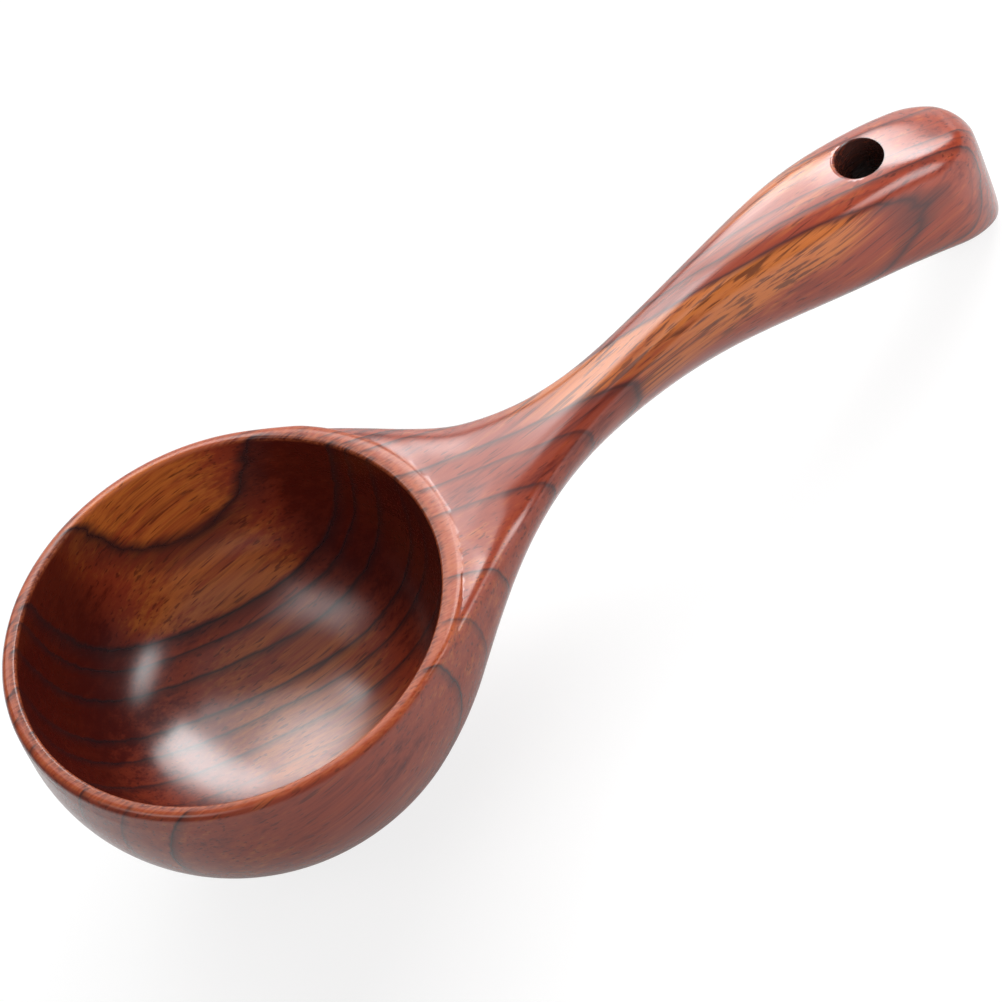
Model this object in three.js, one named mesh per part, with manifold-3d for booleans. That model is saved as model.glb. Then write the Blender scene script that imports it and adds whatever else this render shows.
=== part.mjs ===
// Wooden water ladle, carved from one block: a round bowl with a thin flat rim, a neck that flares
// out of the bowl's back, and an S-curved handle with a hanging hole in its thick end.
//
// Millimetres. The ladle is drawn with its rim level at z = 0, the bowl's axis on z and the handle
// along +X. It is then laid down as it rests on a table, on the bowl's belly and the handle's heel,
// with +Z up and the origin under the middle of the whole ladle.

import * as THREE from 'three';
import { LoftGeometry } from 'three/addons/geometries/LoftGeometry.js';
import { mergeVertices } from 'three/addons/utils/BufferGeometryUtils.js';
import Module from 'manifold-3d';

const wasm = await Module();
wasm.setup();

// Bowl
const MOUTH_RADIUS = 36.6; // opening inside the rim
const CAVITY_DEPTH = 39; // rim to the deepest point inside
const CAVITY_LIP = 4; // upright band of the inside wall below the rim
const CAVITY_SQUARENESS = 2.5; // of the hollow's profile: 2 is an ellipse, more has a flatter floor
const WALL_FRONT = 2.9; // wall at the widest level, away from the handle
const WALL_SIDE = 2.5; // wall at the widest level, to the left and right of the handle
const FLOOR = 5.4; // wood under the deepest point
const BELLY_DROP = 7.7; // the outside is widest this far below the rim

// Rim
const RIM_INSET = 0.06; // how far the rim's wall lies inside the bowl's widest outline
const RIM_LAND_BACK = 4.6; // breadth of the rim where the handle leaves
const RIM_BAND = 6; // height of the rim's wall, sunk into the bowl
const RIM_ROUND = 1.5; // rounding of the outer edge
const MOUTH_ROUND = 0.6; // rounding of the inner edge
const RIM_STEP = 0.35; // height of the rim over the root of the handle
const RIM_SINK = 2; // height of the rim over the bowl's own shoulder
const FRONT_ROUND = 1.4; // rounding of the outer wall up to the rim at the front

// Handle seen from above
const FLARE_ANGLE = 61; // degrees from the handle's axis where the outline leaves the bowl
const NECK_REACH = 38.2; // back of the bowl to the narrowest place of the neck
const NECK_WIDTH = 10.5;
const GRIP_REACH = 45.2; // neck to the widest place of the grip
const GRIP_WIDTH = 18.1;
const TAIL = 23.3; // widest place of the grip to the end of the handle
const END_ROUND = 10; // length over which the end rounds off
const END_SQUARENESS = 2; // 2 is an ellipse, more is blunter

// Handle seen from the side, heights from the rim
const ROOT_REACH = 4.4; // mouth to the root of the handle's top line
const ROOT_SLOPE = 0.066; // rise of the top line where it leaves the rim
const CREST_HEIGHT = 19.3; // highest point of the handle over the rim
const CREST_INSET = 22.7; // crest to the end of the handle
const END_TOP = 14.6; // top line carried on to the end of the handle
const END_TOP_SLOPE = -0.363;
const KEEL_ANGLE = 37.1; // degrees below the handle's axis where the underside leaves the bowl
const NECK_DROP = 5.8; // underside at the neck, below the rim
const NECK_SLOPE = 0.198; // rise of the underside at the neck
const ARCH_REACH = 29; // neck to the highest place of the underside
const ARCH_DROP = 3.5; // highest place of the underside, below the rim
const HEEL_DROP = 9.8; // underside carried on to the end, below the rim
const HEEL_SLOPE = -0.221;
const END_TOP_ROUND = 4; // rounding of the end into the top
const HEEL_ROUND = 2.5; // rounding of the end into the underside

// Pull of each outline's two ends, as a share of its run: longer keeps the tangent for longer
const FLARE_PULL = [0.381, 0.467];
const GRIP_PULL = [0.576, 0.371];
const KEEL_PULL = [0.244, 0.595];
const CREST_PULL = [0.463, 0.412];
const EVEN_PULL = [0.4, 0.4];

// Roundness of the sections above and below their widest level: 2 is an ellipse, more is squarer
const RIM_SQUARENESS = 10;
const BELLY_SQUARENESS = 2;
const NECK_SQUARENESS = { top: 2.53, under: 1.97 };
const GRIP_SQUARENESS = { top: 3.57, under: 3.17 };
// Widest level of the handle's sections, as a share of their height
const NECK_WAIST = 0.725;
const GRIP_WAIST = 0.6;

// Hanging hole, square to the rim
const HOLE_RADIUS = 4.1;
const HOLE_INSET = 19.4; // centre to the end of the handle

// Fineness of the faces
const AROUND = 48;
const BOWL_STATIONS = 18;
const HANDLE_STATIONS = 36;
const END_STATIONS = 7;
const TIP_SHARE = 0.02; // first and last section, as a share of the end's quarter turn
const ROUND_SEGMENTS = 72;
const RIM_SEGMENTS = 144;
const HOLE_SEGMENTS = 32;
const CAVITY_STEPS = 14;
const ROUND_STEPS = 3;

// Places that follow from the sizes
const bowlReach = MOUTH_RADIUS + WALL_FRONT;
const bowlHalfWidth = MOUTH_RADIUS + WALL_SIDE;
const bellyDepth = CAVITY_DEPTH + FLOOR - BELLY_DROP;
const neckX = bowlReach + NECK_REACH;
const gripX = neckX + GRIP_REACH;
const endX = gripX + TAIL;
const rootX = MOUTH_RADIUS + ROOT_REACH;
const crestX = endX - CREST_INSET;
const archX = neckX + ARCH_REACH;
const holeX = endX - HOLE_INSET;
const flareTurn = THREE.MathUtils.degToRad(FLARE_ANGLE);
const keelTurn = THREE.MathUtils.degToRad(KEEL_ANGLE);
const flareX = bowlReach * Math.cos(flareTurn);
const keelX = bowlReach * Math.cos(keelTurn);

/** A point of an outline: place along the handle, value there and slope. */
const knot = (x, value, slope) => ({ x, value, slope });

/** Smooth curve between two knots, leaving and arriving along their slopes. */
function outline(from, to, pull) {
  const run = to.x - from.x;
  const out = run * pull[0];
  const back = run * pull[1];
  return new THREE.CubicBezierCurve(
    new THREE.Vector2(from.x, from.value),
    new THREE.Vector2(from.x + out, from.value + out * from.slope),
    new THREE.Vector2(to.x - back, to.value - back * to.slope),
    new THREE.Vector2(to.x, to.value),
  );
}

/** Place between low and high where `before` turns from true to false. */
function turningPoint(low, high, before) {
  let [near, far] = [low, high];
  while (far - near > Number.EPSILON) {
    const middle = (near + far) / 2;
    if (before(middle)) near = middle;
    else far = middle;
  }
  return near;
}

/** Value at x of a chain of curves that runs towards +X. */
function readAt(chain, x) {
  const curve = chain.find((part) => x <= part.v3.x) ?? chain[chain.length - 1];
  return curve.getPoint(turningPoint(0, 1, (share) => curve.getPoint(share).x < x)).y;
}

/** Half chord of a unit circle at the given share of its radius. */
const chord = (share) => Math.sqrt(Math.max(0, 1 - share * share));

/** Height lost to a rounded corner of the given radius, `into` millimetres past its start. */
const corner = (radius, into) => {
  const share = THREE.MathUtils.clamp(into / radius, 0, 1);
  return radius * (1 - chord(share));
};

// Half width seen from above: the bowl's outline, then the flare into the neck, then the grip
const neckHalf = NECK_WIDTH / 2;
const gripHalf = GRIP_WIDTH / 2;
const flareHalf = bowlHalfWidth * Math.sin(flareTurn);
const flareSlope = -bowlHalfWidth / (bowlReach * Math.tan(flareTurn));
const neckInPlan = knot(neckX, neckHalf, 0);
const gripInPlan = knot(gripX, gripHalf, 0);
const planChain = [
  outline(knot(flareX, flareHalf, flareSlope), neckInPlan, FLARE_PULL),
  outline(neckInPlan, gripInPlan, GRIP_PULL),
  outline(gripInPlan, knot(endX, gripHalf, 0), EVEN_PULL),
];

function halfWidth(x) {
  if (x < flareX) return bowlHalfWidth * chord(x / bowlReach);
  const into = THREE.MathUtils.clamp((x - endX + END_ROUND) / END_ROUND, 0, 1);
  const taper = (1 - into ** END_SQUARENESS) ** (1 / END_SQUARENESS);
  return readAt(planChain, x) * taper;
}

// Underside: the bowl's belly, then a sweep up to the neck, the arch of the handle and its heel
const keelLevel = -BELLY_DROP - bellyDepth * Math.sin(keelTurn);
const keelSlope = bellyDepth / (bowlReach * Math.tan(keelTurn));
const neckUnder = knot(neckX, -NECK_DROP, NECK_SLOPE);
const arch = knot(archX, -ARCH_DROP, 0);
const keelChain = [
  outline(knot(keelX, keelLevel, keelSlope), neckUnder, KEEL_PULL),
  outline(neckUnder, arch, EVEN_PULL),
  outline(arch, knot(endX, -HEEL_DROP, HEEL_SLOPE), EVEN_PULL),
];

function underside(x) {
  if (x < keelX) return -BELLY_DROP - bellyDepth * chord(x / bowlReach);
  return readAt(keelChain, x) + corner(HEEL_ROUND, x - endX + HEEL_ROUND);
}

// Top: the bowl's shoulder under the rim, the root of the handle, its rise to the crest and bent end
const crest = knot(crestX, CREST_HEIGHT, 0);
const topChain = [
  outline(knot(rootX, -RIM_STEP, ROOT_SLOPE), crest, CREST_PULL),
  outline(crest, knot(endX, END_TOP, END_TOP_SLOPE), EVEN_PULL),
];

function topLine(x) {
  if (x > rootX) return readAt(topChain, x) - corner(END_TOP_ROUND, x - endX + END_TOP_ROUND);
  const rise = THREE.MathUtils.smoothstep(x, -flareX, flareX);
  const drop = THREE.MathUtils.lerp(RIM_SINK, RIM_STEP, rise);
  return -drop - corner(FRONT_ROUND, FRONT_ROUND - bowlReach - x);
}

/** Closed cross-section of the ladle's outside at x. */
function section(x) {
  const half = halfWidth(x);
  const top = topLine(x);
  const bottom = underside(x);
  const toNeck = THREE.MathUtils.smoothstep(x, flareX, neckX);
  const toGrip = THREE.MathUtils.smoothstep(x, neckX, gripX);
  const { lerp } = THREE.MathUtils;
  const squareTop = lerp(
    lerp(RIM_SQUARENESS, NECK_SQUARENESS.top, Math.sqrt(toNeck)),
    GRIP_SQUARENESS.top,
    toGrip,
  );
  const squareUnder = lerp(
    lerp(BELLY_SQUARENESS, NECK_SQUARENESS.under, toNeck),
    GRIP_SQUARENESS.under,
    toGrip,
  );
  const share = lerp(NECK_WAIST, GRIP_WAIST, toGrip);
  const ownWaist = lerp(bottom, top, share);
  const waist = lerp(-BELLY_DROP, ownWaist, THREE.MathUtils.smoothstep(x, 0, neckX));
  const ring = [];
  for (let i = 0; i < AROUND; i += 1) {
    const turn = (2 * Math.PI * i) / AROUND;
    const across = Math.cos(turn);
    const up = Math.sin(turn);
    const power = 2 / (up >= 0 ? squareTop : squareUnder);
    const y = half * Math.sign(across) * Math.abs(across) ** power;
    const reach = up >= 0 ? top - waist : waist - bottom;
    const z = waist + reach * Math.sign(up) * Math.abs(up) ** power;
    ring.push(new THREE.Vector3(x, y, z));
  }
  return ring;
}

/** Places of the sections, closer together where the two ends round off. */
function stations() {
  const places = [];
  const quarter = Math.PI / 2;
  for (let i = 0; i <= BOWL_STATIONS; i += 1) {
    const share = Math.max(i / BOWL_STATIONS, TIP_SHARE);
    places.push(-bowlReach * Math.cos(quarter * share));
  }
  const roundX = endX - END_ROUND;
  for (let i = 1; i <= HANDLE_STATIONS; i += 1) {
    places.push((roundX * i) / HANDLE_STATIONS);
  }
  for (let i = 1; i <= END_STATIONS; i += 1) {
    const share = Math.min(i / END_STATIONS, 1 - TIP_SHARE);
    places.push(roundX + END_ROUND * Math.sin(quarter * share));
  }
  return places;
}

/** Point of the rim's outer edge: along the bowl's outline, and round the root of the handle. */
function rimEdge(turn) {
  const reach = Math.cos(turn) > 0 ? MOUTH_RADIUS + RIM_LAND_BACK : bowlReach;
  const x = reach * Math.cos(turn);
  const wide = Math.min(bowlHalfWidth * Math.abs(Math.sin(turn)), halfWidth(x));
  const y = Math.sign(Math.sin(turn)) * wide;
  return new THREE.Vector2(x * (1 - RIM_INSET / reach), y * (1 - RIM_INSET / bowlHalfWidth));
}

/** Outside of the rim: a flat band with a rounded edge, standing just over the handle's root. */
function rimGeometry() {
  const edge = [];
  for (let i = 0; i < RIM_SEGMENTS; i += 1) {
    edge.push(rimEdge((2 * Math.PI * i) / RIM_SEGMENTS));
  }
  const height = RIM_BAND - 2 * RIM_ROUND;
  const rim = new THREE.ExtrudeGeometry(new THREE.Shape(edge), {
    depth: height,
    bevelThickness: RIM_ROUND,
    bevelSize: RIM_ROUND,
    bevelOffset: -RIM_ROUND,
    bevelSegments: ROUND_STEPS,
  });
  return rim.translate(0, 0, -RIM_ROUND - height);
}

/** The hollow: a round floor, an upright lip and a softened inner edge, open at the top. */
function cavityGeometry() {
  const profile = [];
  const quarter = Math.PI / 2;
  const deep = CAVITY_DEPTH - CAVITY_LIP;
  const power = 2 / CAVITY_SQUARENESS;
  for (let i = 0; i <= CAVITY_STEPS; i += 1) {
    const turn = (quarter * i) / CAVITY_STEPS;
    const radius = MOUTH_RADIUS * Math.sin(turn) ** power;
    profile.push(new THREE.Vector2(radius, -CAVITY_LIP - deep * Math.cos(turn) ** power));
  }
  for (let i = 0; i <= ROUND_STEPS; i += 1) {
    const turn = (quarter * i) / ROUND_STEPS;
    const radius = MOUTH_RADIUS + MOUTH_ROUND * (1 - Math.cos(turn));
    profile.push(new THREE.Vector2(radius, MOUTH_ROUND * (Math.sin(turn) - 1)));
  }
  profile.push(new THREE.Vector2(MOUTH_RADIUS + MOUTH_ROUND, CAVITY_LIP));
  profile.push(new THREE.Vector2(0, CAVITY_LIP));
  return new THREE.LatheGeometry(profile, ROUND_SEGMENTS).rotateX(quarter);
}

/** The hanging hole, from below the heel to above the crest. */
function holeGeometry() {
  const length = 2 * (CREST_HEIGHT + HEEL_DROP);
  const drill = new THREE.CylinderGeometry(HOLE_RADIUS, HOLE_RADIUS, length, HOLE_SEGMENTS);
  const middle = (CREST_HEIGHT - HEEL_DROP) / 2;
  return drill.rotateX(Math.PI / 2).translate(holeX, 0, middle);
}

/** Solid body for cutting and joining, from a closed geometry. */
function solid(geometry) {
  const plain = new THREE.BufferGeometry().copy(geometry);
  const merged = mergeVertices(plain.deleteAttribute('normal').deleteAttribute('uv'));
  const kept = [];
  const { array } = merged.index;
  for (let i = 0; i < array.length; i += 3) {
    const [a, b, c] = array.subarray(i, i + 3);
    if (a !== b && b !== c && c !== a) kept.push(a, b, c);
  }
  return new wasm.Manifold(new wasm.Mesh({
    numProp: 3,
    vertProperties: merged.attributes.position.array,
    triVerts: new Uint32Array(kept),
  }));
}

/** Drawable geometry of a solid body. */
function drawable(body) {
  const mesh = body.getMesh();
  const geometry = new THREE.BufferGeometry();
  geometry.setAttribute('position', new THREE.BufferAttribute(mesh.vertProperties, 3));
  geometry.setIndex(new THREE.BufferAttribute(mesh.triVerts, 1));
  return geometry;
}

/** Turn about Y that brings the belly of the bowl and the heel of the handle to one level. */
function restTurn(geometry) {
  const points = geometry.getAttribute('position');
  const lowest = (turn, inBowl) => {
    let low = Infinity;
    for (let i = 0; i < points.count; i += 1) {
      const x = points.getX(i);
      if (x < neckX !== inBowl) continue;
      low = Math.min(low, points.getZ(i) * Math.cos(turn) - x * Math.sin(turn));
    }
    return low;
  };
  return turningPoint(0, Math.PI / 2, (turn) => lowest(turn, false) > lowest(turn, true));
}

/** Sets the ladle down on the table, its middle over the origin. */
function layDown(geometry) {
  geometry.rotateY(restTurn(geometry));
  geometry.computeBoundingBox();
  const { min, max } = geometry.boundingBox;
  return geometry.translate(-(min.x + max.x) / 2, -(min.y + max.y) / 2, -min.z);
}

const outside = solid(new LoftGeometry(stations().map(section), { capStart: true, capEnd: true }));
const carved = outside
  .add(solid(rimGeometry()))
  .subtract(solid(cavityGeometry()))
  .subtract(solid(holeGeometry()));

const lacqueredWood = new THREE.MeshStandardMaterial({
  color: 0x7a3a24,
  roughness: 0.3,
  metalness: 0,
});
const ladle = new THREE.Mesh(layDown(drawable(carved)), lacqueredWood);
ladle.geometry.computeVertexNormals();
ladle.name = 'ladle';

const group = new THREE.Group();
group.name = 'water_ladle';
group.add(ladle);

export default group;
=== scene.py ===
"""Looks of a wooden water ladle, carved from one block and lacquered.

The ladle is shaped in millimetres with its rim level, the bowl's axis on z and the handle along
+X. It is then laid down in the frame of the CAD part, in metres, on the bowl's belly and the
handle's heel.
"""

import sys

import logging
import math
from collections.abc import Callable
from dataclasses import dataclass, field
from enum import Enum

import bmesh
import bpy
from mathutils import Matrix, Quaternion, Vector


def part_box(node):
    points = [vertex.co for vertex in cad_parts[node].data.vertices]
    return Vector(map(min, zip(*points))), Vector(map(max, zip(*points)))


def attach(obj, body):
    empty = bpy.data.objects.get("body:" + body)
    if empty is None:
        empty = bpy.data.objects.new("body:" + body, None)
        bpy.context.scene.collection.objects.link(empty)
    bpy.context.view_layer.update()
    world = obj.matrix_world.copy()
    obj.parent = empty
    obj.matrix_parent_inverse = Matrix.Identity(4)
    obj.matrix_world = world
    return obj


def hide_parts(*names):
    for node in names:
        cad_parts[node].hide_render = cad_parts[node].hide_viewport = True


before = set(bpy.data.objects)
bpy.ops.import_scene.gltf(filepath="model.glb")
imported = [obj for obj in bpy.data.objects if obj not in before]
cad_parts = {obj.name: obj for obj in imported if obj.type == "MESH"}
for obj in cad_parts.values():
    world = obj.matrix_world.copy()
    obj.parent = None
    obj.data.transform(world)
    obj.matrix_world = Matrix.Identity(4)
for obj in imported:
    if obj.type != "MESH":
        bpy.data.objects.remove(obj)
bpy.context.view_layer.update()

LOG = logging.getLogger("water_ladle")
METRES = 0.001  # one millimetre
WELD = 1e-4  # millimetres within which two points of a tool are one
SLIVER = 1e-3  # millimetres below which a carved edge is taken out
QUARTER = math.pi / 2.0
MIDDLE = 0.5  # middle value of any set of streaks
LINE_EDGES = ((-1.6, 0.0), (-0.35, 0.55), (0.0, 1.0), (0.45, 0.0))  # widths, share of dark
BAND_ENDS = (-2.0, 1.0)  # widths past the first and the last line of a band
ROUND_PROFILE = 0.5  # profile of a bevel that is part of a circle
OPEN_SPREAD = 180.0  # degrees of a light that shines all ways
MIX_COLOURS = (0, 6, 7)  # sockets of a mix node for a share and two colours
MIX_NUMBERS = (0, 2, 3)  # sockets of a mix node for a share and two numbers
MIXED_COLOUR = 2  # socket of a mix node that gives the colour

Pair = tuple[float, float]
Triple = tuple[float, float, float]
MeshWork = bmesh.types.BMesh
Socket = bpy.types.NodeSocket


class Cut(Enum):
    """What a tool does to the block of wood."""

    JOIN = "UNION"
    CARVE = "DIFFERENCE"


class Step(Enum):
    """Sums that a finish works out from place to place."""

    ADD = "ADD"
    TAKE = "SUBTRACT"
    TIMES = "MULTIPLY"
    OVER = "DIVIDE"
    POWER = "POWER"
    ROOT = "SQRT"
    SIZE = "ABSOLUTE"
    MORE = "MAXIMUM"


class Role(Enum):
    """What a light is there for."""

    LAMP = "lights the ladle and shows in the lacquer"
    FILL = "lights the ladle only"
    CARD = "shows in the lacquer only"


def smoothstep(value: float, low: float, high: float) -> float:
    """Gives a share from 0 at low to 1 at high that starts and ends gently."""
    share = min(max((value - low) / (high - low), 0.0), 1.0)
    return share * share * (3.0 - 2.0 * share)


def blend(start: float, end: float, share: float) -> float:
    """Gives the value at a share of the way from start to end."""
    return start + (end - start) * share


def chord(share: float) -> float:
    """Gives the half chord of a unit circle at a share of its radius."""
    return math.sqrt(max(0.0, 1.0 - share * share))


def corner(radius: float, into: float) -> float:
    """Gives the height lost to a rounded corner, at a distance past the corner's start."""
    return radius * (1.0 - chord(min(max(into / radius, 0.0), 1.0)))


def quarter_turns(steps: int) -> list[float]:
    """Gives the angles that divide a quarter turn, in radians, from 0."""
    return [QUARTER * index / steps for index in range(steps + 1)]


def turning_point(before: Callable[[float], bool], high: float) -> float:
    """Finds where a test stops being true, as closely as numbers go.

    Args:
        before: The test, true from 0 to the turning point.
        high: Number where it is no longer true.

    Returns:
        The turning point.
    """
    low = 0.0
    while high - low > sys.float_info.epsilon:
        middle = (low + high) / 2.0
        if before(middle):
            low = middle
        else:
            high = middle
    return low


def show(name: str, data: bpy.types.ID) -> bpy.types.Object:
    """Makes an object and links it to the scene.

    Args:
        name: Name of the object.
        data: Its mesh, light or camera.

    Returns:
        The object.
    """
    thing = bpy.data.objects.new(name, data)
    bpy.context.scene.collection.objects.link(thing)
    return thing


def show_mesh(name: str, work: MeshWork) -> bpy.types.Object:
    """Turns finished mesh work into an object.

    Args:
        name: Name of the object and its mesh.
        work: The mesh work; it is used up.

    Returns:
        The object.
    """
    mesh = bpy.data.meshes.new(name)
    work.to_mesh(mesh)
    work.free()
    return show(name, mesh)


@dataclass(frozen=True)
class Knot:
    """A point that an outline goes through, with its slope there."""

    x: float
    value: float
    slope: float = 0.0


@dataclass(frozen=True)
class Outline:
    """Smooth curve between two knots.

    The pulls are shares of the run: a longer pull keeps its end's slope for longer.
    """

    start: Knot
    end: Knot
    pulls: Pair = (0.4, 0.4)

    def at(self, x: float) -> float:
        """Reads the outline.

        Args:
            x: Place along the handle.

        Returns:
            The outline's value there.
        """
        run = self.end.x - self.start.x
        out = run * self.pulls[0]
        back = run * self.pulls[1]
        places = (self.start.x, self.start.x + out, self.end.x - back, self.end.x)
        values = (
            self.start.value,
            self.start.value + out * self.start.slope,
            self.end.value - back * self.end.slope,
            self.end.value,
        )
        share = turning_point(lambda share: self._bezier(places, share) < x, 1.0)
        return self._bezier(values, share)

    @staticmethod
    def _bezier(ends: tuple[float, float, float, float], share: float) -> float:
        """Gives a cubic's value from its four control values, at a share of its length."""
        rest = 1.0 - share
        return (
            rest**3 * ends[0]
            + 3.0 * rest * rest * share * ends[1]
            + 3.0 * rest * share * share * ends[2]
            + share**3 * ends[3]
        )


@dataclass(frozen=True)
class BowlSizes:
    """Sizes of the bowl, in millimetres, with levels from the rim."""

    mouth_radius: float = 36.6
    cavity_depth: float = 39.0
    cavity_lip: float = 4.0
    cavity_squareness: float = 2.5
    wall_front: float = 2.9
    wall_side: float = 2.5
    floor: float = 5.4
    belly_drop: float = 7.7

    @property
    def reach(self) -> float:
        """Radius of the outside along the handle."""
        return self.mouth_radius + self.wall_front

    @property
    def half_width(self) -> float:
        """Radius of the outside across the handle."""
        return self.mouth_radius + self.wall_side

    @property
    def belly_depth(self) -> float:
        """Height of the outside below its widest level."""
        return self.cavity_depth + self.floor - self.belly_drop


@dataclass(frozen=True)
class RimSizes:
    """Sizes of the rim, in millimetres."""

    inset: float = 0.06
    land_back: float = 4.6
    band: float = 6.0
    edge_round: float = 1.5
    mouth_round: float = 0.6
    step: float = 0.12
    sink: float = 2.0
    front_round: float = 1.4


@dataclass(frozen=True)
class HandleSizes:
    """Sizes of the handle, in millimetres and degrees, with levels from the rim."""

    flare_angle: float = 61.0
    shoulder_start: float = 4.0
    shoulder_reach: float = 11.0
    neck_reach: float = 38.2
    neck_width: float = 10.5
    grip_reach: float = 45.2
    grip_width: float = 18.1
    tail: float = 23.3
    end_round: float = 10.0
    end_squareness: float = 2.0
    root_reach: float = 4.4
    root_slope: float = 0.066
    crest_height: float = 19.3
    crest_inset: float = 22.7
    end_top: float = 14.6
    end_top_slope: float = -0.363
    keel_angle: float = 37.1
    neck_drop: float = 5.8
    neck_slope: float = 0.198
    arch_reach: float = 29.0
    arch_drop: float = 3.5
    heel_drop: float = 9.8
    heel_slope: float = -0.221
    end_top_round: float = 4.0
    heel_round: float = 2.5
    flare_pulls: Pair = (0.381, 0.467)
    grip_pulls: Pair = (0.576, 0.371)
    keel_pulls: Pair = (0.244, 0.595)
    crest_pulls: Pair = (0.463, 0.412)


@dataclass(frozen=True)
class SectionSizes:
    """Roundness of the cross-sections: 2 is an ellipse and more is squarer."""

    rim: float = 10.0
    belly: float = 2.0
    neck_top: float = 2.53
    neck_under: float = 1.97
    grip_top: float = 3.57
    grip_under: float = 3.17
    neck_waist: float = 0.725
    grip_waist: float = 0.6


@dataclass(frozen=True)
class HoleSizes:
    """Sizes of the hanging hole, in millimetres."""

    radius: float = 4.1
    inset: float = 19.4
    mouth_round: float = 0.7
    overrun: float = 6.0


@dataclass(frozen=True)
class Fineness:
    """How finely the visible surface is divided."""

    around: int = 176
    bowl_stations: int = 64
    handle_stations: int = 150
    end_stations: int = 22
    round_segments: int = 192
    cavity_steps: int = 56
    hole_segments: int = 64
    round_steps: int = 5
    tip_share: float = 0.012
    sharp_angle: float = 38.0


@dataclass(frozen=True)
class LadleForm:
    """Outlines and cross-sections of the whole ladle, rim level."""

    bowl: BowlSizes = BowlSizes()
    rim: RimSizes = RimSizes()
    handle: HandleSizes = HandleSizes()
    shape: SectionSizes = SectionSizes()
    hole: HoleSizes = HoleSizes()

    @property
    def neck_x(self) -> float:
        """Place of the narrowest part of the neck."""
        return self.bowl.reach + self.handle.neck_reach

    @property
    def grip_x(self) -> float:
        """Place where the grip gets its full width."""
        return self.neck_x + self.handle.grip_reach

    @property
    def end_x(self) -> float:
        """Place of the handle's end."""
        return self.grip_x + self.handle.tail

    @property
    def hole_x(self) -> float:
        """Place of the hanging hole."""
        return self.end_x - self.hole.inset

    @property
    def flare_x(self) -> float:
        """Place where the outline seen from above leaves the bowl."""
        return self.bowl.reach * math.cos(math.radians(self.handle.flare_angle))

    @property
    def shoulder(self) -> Pair:
        """Places where the shoulder starts to round off and where it is as round as the neck."""
        handle = self.handle
        return self.flare_x + handle.shoulder_start, self.bowl.reach + handle.shoulder_reach

    @property
    def keel_x(self) -> float:
        """Place where the underside leaves the bowl."""
        return self.bowl.reach * math.cos(math.radians(self.handle.keel_angle))

    @property
    def root_x(self) -> float:
        """Place where the handle's top line leaves the rim."""
        return self.bowl.mouth_radius + self.handle.root_reach

    @property
    def rim_back(self) -> float:
        """Reach of the rim over the handle's root."""
        return self.bowl.mouth_radius + self.rim.land_back

    def rim_edge(self, turn: float) -> Pair:
        """Gives a point of the rim's outer edge, seen from above.

        Args:
            turn: Turn about the bowl's axis in radians, from the handle.

        Returns:
            The place along the handle and across it.
        """
        bowl, inset = self.bowl, self.rim.inset
        reach = self.rim_back if math.cos(turn) > 0.0 else bowl.reach
        x = reach * math.cos(turn)
        wide = min(bowl.half_width * abs(math.sin(turn)), self.half_width(x))
        y = math.copysign(wide, math.sin(turn))
        return x * (1.0 - inset / reach), y * (1.0 - inset / bowl.half_width)

    def half_width(self, x: float) -> float:
        """Gives half the width seen from above.

        Args:
            x: Place along the handle.

        Returns:
            Half the width there.
        """
        bowl, handle = self.bowl, self.handle
        if x < self.flare_x:
            return bowl.half_width * chord(x / bowl.reach)
        turn = math.radians(handle.flare_angle)
        slope = -bowl.half_width / (bowl.reach * math.tan(turn))
        leave = Knot(self.flare_x, bowl.half_width * math.sin(turn), slope)
        neck = Knot(self.neck_x, handle.neck_width / 2.0)
        grip = Knot(self.grip_x, handle.grip_width / 2.0)
        if x < self.neck_x:
            return Outline(leave, neck, handle.flare_pulls).at(x)
        width = grip.value
        if x < self.grip_x:
            width = Outline(neck, grip, handle.grip_pulls).at(x)
        into = min(max((x - self.end_x + handle.end_round) / handle.end_round, 0.0), 1.0)
        power = handle.end_squareness
        return width * (1.0 - into**power) ** (1.0 / power)

    def underside(self, x: float) -> float:
        """Gives the level of the underside.

        Args:
            x: Place along the handle.

        Returns:
            The level there.
        """
        bowl, handle = self.bowl, self.handle
        if x < self.keel_x:
            return -bowl.belly_drop - bowl.belly_depth * chord(x / bowl.reach)
        turn = math.radians(handle.keel_angle)
        level = -bowl.belly_drop - bowl.belly_depth * math.sin(turn)
        leave = Knot(self.keel_x, level, bowl.belly_depth / (bowl.reach * math.tan(turn)))
        neck = Knot(self.neck_x, -handle.neck_drop, handle.neck_slope)
        arch = Knot(self.neck_x + handle.arch_reach, -handle.arch_drop)
        heel = Knot(self.end_x, -handle.heel_drop, handle.heel_slope)
        if x < neck.x:
            return Outline(leave, neck, handle.keel_pulls).at(x)
        line = Outline(neck, arch) if x < arch.x else Outline(arch, heel)
        return line.at(x) + corner(handle.heel_round, x - self.end_x + handle.heel_round)

    def top_line(self, x: float) -> float:
        """Gives the level of the top.

        Args:
            x: Place along the handle.

        Returns:
            The level there.
        """
        handle, rim = self.handle, self.rim
        if x <= self.root_x:
            drop = blend(rim.sink, rim.step, smoothstep(x, -self.flare_x, self.flare_x))
            return -drop - corner(rim.front_round, rim.front_round - self.bowl.reach - x)
        root = Knot(self.root_x, -rim.step, handle.root_slope)
        crest = Knot(self.end_x - handle.crest_inset, handle.crest_height)
        end = Knot(self.end_x, handle.end_top, handle.end_top_slope)
        line = Outline(root, crest, handle.crest_pulls) if x < crest.x else Outline(crest, end)
        return line.at(x) - corner(handle.end_top_round, x - self.end_x + handle.end_top_round)

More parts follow.
